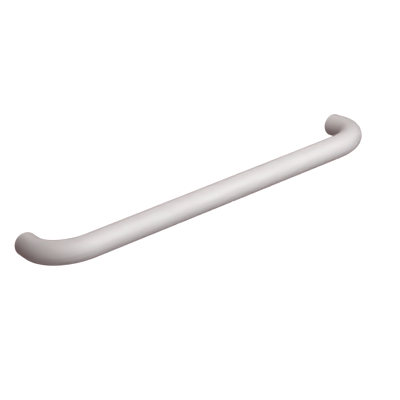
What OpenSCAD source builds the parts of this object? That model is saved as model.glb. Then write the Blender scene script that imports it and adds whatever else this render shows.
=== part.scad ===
// Wall-mounted towel rail with no wall plates showing.
// One tube is bent into a shallow U. Each leg ends flat on the wall, slips over
// a turned spigot that a countersunk screw holds to the wall, and is locked to
// it by a grub screw from below.
// The wall is the plane y = 0 and the rail stands out along -Y. Z is up. The
// origin is midway between the two wall screw holes.

/* [Rail] */
// Distance between the centre lines of the two legs
leg_centres = 500; // [300:10:900]
// Distance from the wall to the centre line of the bar
reach = 75; // [72:1:110]
// Outside diameter of the tube
tube_d = 32; // [28:1:38]
// Thickness of the tube's wall
tube_wall = 4; // [3:0.5:5]
// Radius of both bends, measured to the centre line of the tube
bend_r = 55; // [35:1:58]
// Rounding of the tube's outer edge at the wall
rim_r = 1; // [0.4:0.1:1.4]
// Chamfer inside the tube's mouth
mouth_chamfer = 0.6; // [0.2:0.1:1.2]

/* [Wall spigot] */
// Length of the spigot inside the leg
spigot_len = 14; // [12:0.5:16]
// Radial clearance between the spigot and the tube
spigot_fit = 0.1; // [0.05:0.05:0.3]
// Thickness of the floor that the wall screw clamps
floor_t = 4.5; // [3.5:0.5:6]
// Thickness of the spigot's cylindrical wall
spigot_wall = 3.6; // [3:0.2:4.2]
// Chamfer on the spigot's leading edge
lead_chamfer = 1; // [0.4:0.2:2]
// Diameter of the hole for the wall screw
screw_hole_d = 5; // [4:0.5:6]
// Diameter of the countersink for the wall screw's head
screw_head_d = 9.6; // [8:0.2:10.4]

/* [Grub screw] */
// Distance from the wall to the grub screw's axis
grub_from_wall = 7.5; // [6:0.5:9]
// Diameter of the grub screw
grub_d = 5; // [4:0.5:6]
// Length of the grub screw
grub_len = 5; // [4.5:0.25:5.25]
// Radial clearance round the grub screw in its hole
grub_fit = 0.05; // [0.02:0.01:0.1]
// Width across the flats of the hexagon socket
socket_af = 2.5; // [2:0.5:3]
// Depth of the hexagon socket
socket_depth = 2.4; // [1.6:0.2:2.6]
// Depth of the groove in the spigot that the grub screw's point bites in
groove_depth = 1.2; // [0.8:0.1:1.5]
// Width of the flat on the grub screw's point
point_flat = 1; // [0.6:0.1:1.6]
// Gap left between the point and the bottom of the groove
point_gap = 0.05; // [0.02:0.01:0.1]

/* [Hidden] */
$fn = 96;

LEFT = -1;
RIGHT = 1;
HEXAGON = 6;
// How far a cutter reaches past the face it opens
cut = 1;
// Chamfers of the small turned edges
foot_chamfer = 0.3;
grub_chamfer = 0.5;
grub_lead_in = 0.4;

tube_r = tube_d / 2;
bore_r = tube_r - tube_wall;
leg_x = leg_centres / 2;
bar_len = leg_centres - 2 * bend_r;
leg_len = reach - bend_r;

spigot_r = bore_r - spigot_fit;
cup_r = spigot_r - spigot_wall;
groove_r = spigot_r - groove_depth;
// The groove's flanks lean at 45 degrees, as the screw's point does
groove_flat = point_flat + 2 * point_gap;
groove_mouth = groove_flat + 2 * groove_depth;

grub_r = grub_d / 2;
grub_hole_r = grub_r + grub_fit;

// Section of the tube, square to its centre line
module tube_section() {
    difference() {
        circle(r = tube_r);
        circle(r = bore_r);
    }
}

// Straight front bar, along X
module bar() {
    translate([-bar_len / 2, -reach, 0])
        rotate([0, 90, 0])
            linear_extrude(height = bar_len)
                tube_section();
}

// Quarter turn from the bar's right end into the right leg
module right_bend() {
    translate([leg_x - bend_r, bend_r - reach, 0])
        rotate([0, 0, -90])
            rotate_extrude(angle = 90)
                translate([bend_r, 0])
                    tube_section();
}

// Half section of a leg's wall: radius across, distance from the wall up.
// The outer edge at the wall is rounded and the mouth is chamfered.
module leg_half_section() {
    polygon([
        [bore_r, mouth_chamfer],
        [bore_r + mouth_chamfer, 0],
        [tube_r - rim_r, 0],
        [tube_r - rim_r, rim_r],
        [tube_r, rim_r],
        [tube_r, leg_len],
        [bore_r, leg_len]
    ]);
    translate([tube_r - rim_r, rim_r])
        circle(r = rim_r);
}

// Straight right leg, from the wall to the bend
module right_leg() {
    translate([leg_x, 0, 0])
        rotate([90, 0, 0])
            rotate_extrude()
                leg_half_section();
}

// Hole for the grub screw through the underside of the leg on one side
module grub_hole(side) {
    translate([side * leg_x, -grub_from_wall, -tube_r - cut]) {
        cylinder(r = grub_hole_r, h = tube_wall + 2 * cut);
        cylinder(
            r1 = grub_hole_r + grub_lead_in + cut,
            r2 = grub_hole_r,
            h = grub_lead_in + cut
        );
    }
}

// The whole tube: bar, two bends and two legs in one piece
module bent_rail() {
    color("gainsboro")
        difference() {
            union() {
                bar();
                for (side = [0, 1]) {
                    mirror([side, 0, 0]) {
                        right_bend();
                        right_leg();
                    }
                }
            }
            grub_hole(LEFT);
            grub_hole(RIGHT);
        }
}

// Half section of a spigot: radius across, distance from the wall up.
// It is a cup whose floor is drilled and countersunk for the wall screw.
module spigot_half_section() {
    screw_r = screw_hole_d / 2;
    head_r = screw_head_d / 2;
    polygon([
        [screw_r, 0],
        [spigot_r - foot_chamfer, 0],
        [spigot_r, foot_chamfer],
        [spigot_r, grub_from_wall - groove_mouth / 2],
        [groove_r, grub_from_wall - groove_flat / 2],
        [groove_r, grub_from_wall + groove_flat / 2],
        [spigot_r, grub_from_wall + groove_mouth / 2],
        [spigot_r, spigot_len - lead_chamfer],
        [spigot_r - lead_chamfer, spigot_len],
        [cup_r, spigot_len],
        [cup_r, floor_t],
        [head_r, floor_t],
        [screw_r, floor_t - (head_r - screw_r)]
    ]);
}

// Turned spigot that is screwed to the wall inside the leg on one side
module wall_spigot(side) {
    color("darkgray")
        translate([side * leg_x, 0, 0])
            rotate([90, 0, 0])
                rotate_extrude()
                    spigot_half_section();
}

// Half section of a grub screw: radius across, distance from its point up
module grub_half_section() {
    point_r = point_flat / 2;
    polygon([
        [0, 0],
        [point_r, 0],
        [grub_r, grub_r - point_r],
        [grub_r, grub_len - grub_chamfer],
        [grub_r - grub_chamfer, grub_len],
        [0, grub_len]
    ]);
}

// Grub screw that locks the leg on one side, point up in the spigot's groove
module grub_screw(side) {
    socket_r = socket_af / 2 / cos(180 / HEXAGON);
    color("dimgray")
        translate([side * leg_x, -grub_from_wall, -groove_r - point_gap])
            rotate([180, 0, 0])
                difference() {
                    rotate_extrude()
                        grub_half_section();
                    translate([0, 0, grub_len - socket_depth])
                        cylinder(r = socket_r, h = socket_depth + cut, $fn = HEXAGON);
                }
}

bent_rail();
wall_spigot(LEFT);  // left_wall_spigot
wall_spigot(RIGHT);  // right_wall_spigot
grub_screw(LEFT);  // left_grub_screw
grub_screw(RIGHT);  // right_grub_screw
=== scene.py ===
# Looks of a wall-mounted towel rail: one bent tube of satin white plastic on two
# hidden metal spigots, each leg locked by a grub screw from below.
# All lengths are in metres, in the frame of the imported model: the wall is the
# plane y = 0, the rail stands out along -Y and Z is up.

import math

import bmesh
import bpy
from mathutils import Matrix, Vector


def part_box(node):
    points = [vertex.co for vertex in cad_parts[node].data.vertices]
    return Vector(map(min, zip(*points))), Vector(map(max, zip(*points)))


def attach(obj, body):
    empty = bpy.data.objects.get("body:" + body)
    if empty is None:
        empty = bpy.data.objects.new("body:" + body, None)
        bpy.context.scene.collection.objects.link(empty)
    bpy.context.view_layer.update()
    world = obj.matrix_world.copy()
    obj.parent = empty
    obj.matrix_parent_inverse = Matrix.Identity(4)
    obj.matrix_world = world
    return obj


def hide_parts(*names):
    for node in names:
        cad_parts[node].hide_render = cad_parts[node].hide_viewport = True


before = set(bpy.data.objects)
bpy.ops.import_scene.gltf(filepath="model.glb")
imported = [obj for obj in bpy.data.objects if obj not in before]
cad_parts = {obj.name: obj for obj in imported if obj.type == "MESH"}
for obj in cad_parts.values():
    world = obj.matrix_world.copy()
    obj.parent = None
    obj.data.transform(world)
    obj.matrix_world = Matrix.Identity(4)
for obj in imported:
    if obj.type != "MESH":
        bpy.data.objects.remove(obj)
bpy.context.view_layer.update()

MM = 0.001
BODY = "root"

# Places read from the frame
rail_low, rail_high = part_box("bent_rail")
tube_r = (rail_high.z - rail_low.z) / 2
bar_y = rail_low.y + tube_r
leg_x = rail_high.x - tube_r


# Camera

AIM_X = -32.7 * MM
AIM_Z = 2.3 * MM
CAMERA_DISTANCE = 1.483
CAMERA_AZIMUTH = math.radians(-29.3)
CAMERA_ELEVATION = math.radians(22.5)
CAMERA_ROLL = math.radians(-9.7)
LENS_MM = 103.0


def towards(azimuth, elevation):
    """Unit vector from the object to a viewer; azimuth 0 is in front, on the -Y side."""
    return Vector((
        math.sin(azimuth) * math.cos(elevation),
        -math.cos(azimuth) * math.cos(elevation),
        math.sin(elevation),
    ))


def facing(place, back, roll=0.0):
    """World matrix of a camera or lamp at place that looks along -back, turned by roll."""
    across = Vector((0, 0, 1)).cross(back).normalized()
    up = back.cross(across)
    x_axis = math.cos(roll) * across + math.sin(roll) * up
    y_axis = -math.sin(roll) * across + math.cos(roll) * up
    turn = Matrix((x_axis, y_axis, back)).transposed()
    return Matrix.Translation(place) @ turn.to_4x4()


def add_camera():
    """The camera at the angle from which the rail is seen, bar running up to the right."""
    data = bpy.data.cameras.new("camera")
    data.lens = LENS_MM
    camera = bpy.data.objects.new("camera", data)
    bpy.context.scene.collection.objects.link(camera)
    aim = Vector((AIM_X, bar_y, AIM_Z))
    back = towards(CAMERA_AZIMUTH, CAMERA_ELEVATION)
    camera.matrix_world = facing(aim + CAMERA_DISTANCE * back, back, CAMERA_ROLL)
    bpy.context.scene.camera = camera


# Node helpers

def new_material(name):
    """A material with nodes: returns it with its shader."""
    material = bpy.data.materials.new(name)
    material.use_nodes = True
    return material, material.node_tree.nodes["Principled BSDF"]


def node(material, kind, **values):
    """A new node of that kind; a key with an underscore for each space sets an input."""
    made = material.node_tree.nodes.new(kind)
    for key, value in values.items():
        if hasattr(made, key):
            setattr(made, key, value)
        else:
            made.inputs[key.replace("_", " ")].default_value = value
    return made


def link(material, start, end):
    """Joins an output socket to an input socket."""
    material.node_tree.links.new(start, end)


def noise(material, size, detail=2.0):
    """Noise in object space whose blotches are about size metres across."""
    place = node(material, "ShaderNodeTexCoord")
    texture = node(material, "ShaderNodeTexNoise", Scale=1 / size, Detail=detail)
    link(material, place.outputs["Object"], texture.inputs["Vector"])
    return texture.outputs["Fac"]


# Noise stays near the middle of 0 to 1
NOISE_LOW = 0.3
NOISE_HIGH = 0.7


def spread(material, value, low, high):
    """Maps noise so that it runs from low to high."""
    mapped = node(
        material, "ShaderNodeMapRange",
        From_Min=NOISE_LOW, From_Max=NOISE_HIGH, To_Min=low, To_Max=high,
    )
    link(material, value, mapped.inputs["Value"])
    return mapped.outputs["Result"]


def bump(material, height, depth, below=None):
    """Bump of that depth in metres, on top of the normal below it if there is one."""
    made = node(material, "ShaderNodeBump", Strength=1.0, Distance=depth)
    link(material, height, made.inputs["Height"])
    if below:
        link(material, below, made.inputs["Normal"])
    return made.outputs["Normal"]


# Sockets of a Mix node that is set to colours
MIX_FACTOR = 0
MIX_FIRST = 6
MIX_SECOND = 7
MIX_RESULT = 2


def mottle(material, shader, factor, first, second):
    """Gives the shader a base colour that runs from the first to the second by a factor."""
    mix = node(material, "ShaderNodeMix", data_type="RGBA")
    link(material, factor, mix.inputs[MIX_FACTOR])
    mix.inputs[MIX_FIRST].default_value = (*first, 1)
    mix.inputs[MIX_SECOND].default_value = (*second, 1)
    link(material, mix.outputs[MIX_RESULT], shader.inputs["Base Color"])


# Materials

RAIL_COLOUR = (0.81, 0.80, 0.80)
RAIL_SHADE = (0.79, 0.78, 0.78)
RAIL_CLOUD_SIZE = 60 * MM
RAIL_ROUGHNESS = (0.28, 0.36)
RAIL_PATCH_SIZE = 14 * MM
PEEL_SIZE = 1.6 * MM
PEEL_DEPTH = 0.012 * MM
GRAIN_SIZE = 0.25 * MM
GRAIN_DEPTH = 0.003 * MM
PLASTIC_IOR = 1.53
SUBSURFACE_WEIGHT = 0.15
SUBSURFACE_RADIUS = (1.0, 0.6, 0.5)
SUBSURFACE_SCALE = 1.2 * MM

ALUMINIUM_COLOUR = (0.66, 0.66, 0.67)
ALUMINIUM_SHADE = (0.55, 0.55, 0.57)
ALUMINIUM_ROUGHNESS = (0.42, 0.54)
ALUMINIUM_PATCH_SIZE = 3 * MM
RING_WIDTH = 0.3 * MM
RING_DEPTH = 0.02 * MM

STEEL_COLOUR = (0.34, 0.34, 0.35)
STEEL_SHADE = (0.24, 0.24, 0.25)
STEEL_BLOTCH_SIZE = 0.9 * MM
STEEL_ROUGHNESS = (0.28, 0.42)
STEEL_PATCH_SIZE = 0.4 * MM


def satin_plastic():
    """Off-white plastic with a soft sheen, faint clouding and a fine orange peel."""
    material, shader = new_material("satin_white_plastic")
    clouds = spread(material, noise(material, RAIL_CLOUD_SIZE, detail=3.0), 0, 1)
    mottle(material, shader, clouds, RAIL_COLOUR, RAIL_SHADE)
    patches = spread(material, noise(material, RAIL_PATCH_SIZE, detail=4.0), *RAIL_ROUGHNESS)
    link(material, patches, shader.inputs["Roughness"])
    peel = bump(material, noise(material, PEEL_SIZE, detail=1.0), PEEL_DEPTH)
    grain = bump(material, noise(material, GRAIN_SIZE), GRAIN_DEPTH, peel)
    link(material, grain, shader.inputs["Normal"])
    shader.inputs["IOR"].default_value = PLASTIC_IOR
    shader.inputs["Subsurface Weight"].default_value = SUBSURFACE_WEIGHT
    shader.inputs["Subsurface Radius"].default_value = SUBSURFACE_RADIUS
    shader.inputs["Subsurface Scale"].default_value = SUBSURFACE_SCALE
    return material


def turned_aluminium():
    """Bare aluminium with the rings that a lathe leaves round the legs' axes.

    The rings follow the distance from the leg's axis plus the depth along it, so they
    show on the flat faces and on the cylindrical ones.
    """
    material, shader = new_material("turned_aluminium")
    shader.inputs["Metallic"].default_value = 1.0
    place = node(material, "ShaderNodeTexCoord")
    parts = node(material, "ShaderNodeSeparateXYZ")
    link(material, place.outputs["Object"], parts.inputs[0])
    side = node(material, "ShaderNodeMath", operation="ABSOLUTE")
    link(material, parts.outputs["X"], side.inputs[0])
    off_axis = node(material, "ShaderNodeMath", operation="SUBTRACT")
    link(material, side.outputs[0], off_axis.inputs[0])
    off_axis.inputs[1].default_value = leg_x
    squares = node(material, "ShaderNodeCombineXYZ")
    link(material, off_axis.outputs[0], squares.inputs["X"])
    link(material, parts.outputs["Z"], squares.inputs["Z"])
    radius = node(material, "ShaderNodeVectorMath", operation="LENGTH")
    link(material, squares.outputs[0], radius.inputs[0])
    along = node(material, "ShaderNodeMath", operation="ADD")
    link(material, radius.outputs["Value"], along.inputs[0])
    link(material, parts.outputs["Y"], along.inputs[1])
    rings = node(
        material, "ShaderNodeTexNoise", noise_dimensions="1D", Scale=1 / RING_WIDTH, Detail=2.0,
    )
    link(material, along.outputs[0], rings.inputs["W"])
    link(material, bump(material, rings.outputs["Fac"], RING_DEPTH), shader.inputs["Normal"])
    tint = spread(material, rings.outputs["Fac"], 0, 1)
    mottle(material, shader, tint, ALUMINIUM_COLOUR, ALUMINIUM_SHADE)
    rough = spread(material, noise(material, ALUMINIUM_PATCH_SIZE), *ALUMINIUM_ROUGHNESS)
    link(material, rough, shader.inputs["Roughness"])
    return material


def screw_steel():
    """Dull plated steel with faint blotches."""
    material, shader = new_material("screw_steel")
    shader.inputs["Metallic"].default_value = 1.0
    blotches = spread(material, noise(material, STEEL_BLOTCH_SIZE, detail=3.0), 0, 1)
    mottle(material, shader, blotches, STEEL_COLOUR, STEEL_SHADE)
    rough = spread(material, noise(material, STEEL_PATCH_SIZE), *STEEL_ROUGHNESS)
    link(material, rough, shader.inputs["Roughness"])
    return material


def dress(name, material):
    """Gives a carried-over node its material."""
    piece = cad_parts[name]
    piece.data.materials.clear()
    piece.data.materials.append(material)
    return piece


# Grub screws

THREAD_PITCH = 0.8 * MM
THREAD_DEPTH = 0.43 * MM
# Share of half a pitch that is flat at the crest, and again at the root
CREST_SHARE = 0.14
POINTS_PER_TURN = 72
STEPS_PER_PITCH = 14
POINT_R = 0.5 * MM
END_CHAMFER = 0.5 * MM
# The hexagon socket, measured across its flats
SOCKET_FLATS = 2.5 * MM
SOCKET_DEPTH = 2.4 * MM
SOCKET_CHAMFER = 0.12 * MM
# The hole drilled for the socket, a little narrower than its flats, and its cone's depth
DRILL_R = 0.48 * SOCKET_FLATS
DRILL_POINT = 0.4 * MM
SHARP_ANGLE = math.radians(28)


def thread_drop(turns):
    """How far the thread's surface lies below its crest, at that many turns along."""
    phase = abs((turns % 1) - 0.5) * 2
    slope = (phase - CREST_SHARE) / (1 - 2 * CREST_SHARE)
    return THREAD_DEPTH * min(max(slope, 0), 1)


def hexagon_radius(angle, flats):
    """Distance from the centre to a hexagon's edge at that angle."""
    sector = math.tau / 6
    return flats / 2 / math.cos((angle + sector / 2) % sector - sector / 2)


def grub_rings(radius, length):
    """Rings of (z, radius at an angle) from the point up, over the end and into the socket."""
    rings = [(0, lambda angle: POINT_R)]
    steps = round(length / THREAD_PITCH * STEPS_PER_PITCH)
    for step in range(1, steps + 1):
        z = length * step / steps
        edge = min(radius, POINT_R + z, radius - END_CHAMFER + (length - z))
        rings.append((z, lambda angle, z=z, edge=edge: min(
            edge, radius - thread_drop(z / THREAD_PITCH - angle / math.tau))))
    wide = SOCKET_FLATS + 2 * SOCKET_CHAMFER
    rings.append((length, lambda angle: hexagon_radius(angle, wide)))
    rings.append((length - SOCKET_CHAMFER, lambda angle: hexagon_radius(angle, SOCKET_FLATS)))
    rings.append((length - SOCKET_DEPTH, lambda angle: hexagon_radius(angle, SOCKET_FLATS)))
    rings.append((length - SOCKET_DEPTH, lambda angle: DRILL_R))
    return rings


def grub_screw(name, node_name, material):
    """A threaded screw with a cone point and a hexagon socket, in its node's place, point up."""
    low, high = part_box(node_name)
    centre = (low + high) / 2
    length = high.z - low.z
    mesh = bmesh.new()
    made = []
    for z, radius_at in grub_rings((high.x - low.x) / 2, length):
        ring = []
        for index in range(POINTS_PER_TURN):
            angle = math.tau * index / POINTS_PER_TURN
            radius = radius_at(angle)
            ring.append(mesh.verts.new((
                centre.x + radius * math.cos(angle),
                centre.y - radius * math.sin(angle),
                high.z - z,
            )))
        made.append(ring)
    tip = mesh.verts.new((centre.x, centre.y, high.z))
    pit = mesh.verts.new((centre.x, centre.y, low.z + SOCKET_DEPTH + DRILL_POINT))
    for below, above in zip(made, made[1:]):
        for index in range(POINTS_PER_TURN):
            after = (index + 1) % POINTS_PER_TURN
            mesh.faces.new((below[index], below[after], above[after], above[index]))
    for index in range(POINTS_PER_TURN):
        after = (index + 1) % POINTS_PER_TURN
        mesh.faces.new((tip, made[0][after], made[0][index]))
        mesh.faces.new((pit, made[-1][index], made[-1][after]))
    bmesh.ops.recalc_face_normals(mesh, faces=mesh.faces)
    data = bpy.data.meshes.new(name)
    mesh.to_mesh(data)
    mesh.free()
    data.materials.append(material)
    data.shade_smooth()
    data.set_sharp_from_angle(angle=SHARP_ANGLE)
    piece = bpy.data.objects.new(name, data)
    bpy.context.scene.collection.objects.link(piece)
    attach(piece, BODY)
    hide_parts(node_name)
    return piece


# Studio

FLOOR_Z = -2.0
# Half the width of the floor, which reaches beyond the round backdrop
FLOOR_HALF = 15.0
BACKDROP_R = 12.0
STUDIO_WHITE = (1.0, 1.0, 1.0, 1)
# The dim, slightly warm light that comes evenly from all round
AMBIENT = (0.16, 0.11, 0.11, 1)

# Softboxes: name, place along the bar, degrees round the bar from its front, distance,
# length, width, power in watts and colour
SOFTBOXES = [
    ("front_strip", 0.1, 15, 0.9, 1.2, 0.3, 4.1, (0.96, 1.0, 1.0)),
    ("upper_strip", 0.5, 45, 0.9, 1.2, 0.3, 3.5, (0.95, 0.98, 1.0)),
    ("top_softbox", 0.0, 64, 1.22, 0.8, 0.8, 4.1, (1.0, 1.0, 0.98)),
    ("back_softbox", 0.3, 140, 0.9, 1.2, 0.8, 1.7, (1.0, 0.93, 0.90)),
]
# A lamp on the far side, opposite the camera, for the sides turned away from it
FAR_FILL_DISTANCE = 2.8
FAR_FILL_WIDTH = 0.5
FAR_FILL_POWER = 15.0


def add_stage(name, data, material):
    """A white studio surface: the camera sees it, and it throws no light on the rail."""
    data.materials.append(material)
    surface = bpy.data.objects.new(name, data)
    bpy.context.scene.collection.objects.link(surface)
    surface.visible_diffuse = False
    surface.visible_glossy = False
    surface.visible_shadow = False


def add_studio():
    """A plain white floor well below the rail, and a white backdrop all round."""
    material, shader = new_material("studio_white")
    shader.inputs["Base Color"].default_value = STUDIO_WHITE
    shader.inputs["Emission Color"].default_value = STUDIO_WHITE
    shader.inputs["Emission Strength"].default_value = 1.0
    corners = [(-1, -1), (1, -1), (1, 1), (-1, 1)]
    floor = bpy.data.meshes.new("floor")
    places = [(FLOOR_HALF * x, FLOOR_HALF * y, FLOOR_Z) for x, y in corners]
    floor.from_pydata(places, [], [(0, 1, 2, 3)])
    add_stage("floor", floor, material)
    shell = bmesh.new()
    bmesh.ops.create_uvsphere(shell, u_segments=48, v_segments=24, radius=BACKDROP_R)
    backdrop = bpy.data.meshes.new("backdrop")
    shell.to_mesh(backdrop)
    shell.free()
    add_stage("backdrop", backdrop, material)


def add_lamp(name, place, back, length, width, power, colour=(1, 1, 1)):
    """A rectangular soft lamp that shines along -back."""
    data = bpy.data.lights.new(name, "AREA")
    data.shape = "RECTANGLE"
    data.size = length
    data.size_y = width
    data.energy = power
    data.color = colour
    lamp = bpy.data.objects.new(name, data)
    bpy.context.scene.collection.objects.link(lamp)
    lamp.matrix_world = facing(place, back)


def add_softbox(name, x, angle, distance, length, width, power, colour):
    """A lamp along the bar, turned about the bar's axis to face it."""
    back = towards(0, math.radians(angle))
    add_lamp(name, Vector((x, bar_y, 0)) + distance * back, back, length, width, power, colour)


def light_studio():
    """Soft lamps and a dim even surround."""
    for softbox in SOFTBOXES:
        add_softbox(*softbox)
    far = -towards(CAMERA_AZIMUTH, CAMERA_ELEVATION)
    far_place = Vector((0, bar_y, 0)) + FAR_FILL_DISTANCE * far
    add_lamp("far_fill", far_place, far, FAR_FILL_WIDTH, FAR_FILL_WIDTH, FAR_FILL_POWER)
    world = bpy.data.worlds.new("studio")
    bpy.context.scene.world = world
    world.use_nodes = True
    world.node_tree.nodes["Background"].inputs["Color"].default_value = AMBIENT
    bpy.context.scene.view_settings.view_transform = "Standard"


add_camera()
dress("bent_rail", satin_plastic())
spigot_metal = turned_aluminium()
dress("left_wall_spigot", spigot_metal)
dress("right_wall_spigot", spigot_metal)
steel = screw_steel()
grub_screw("left_threaded_grub_screw", "left_grub_screw", steel)
grub_screw("right_threaded_grub_screw", "right_grub_screw", steel)
add_studio()
light_studio()
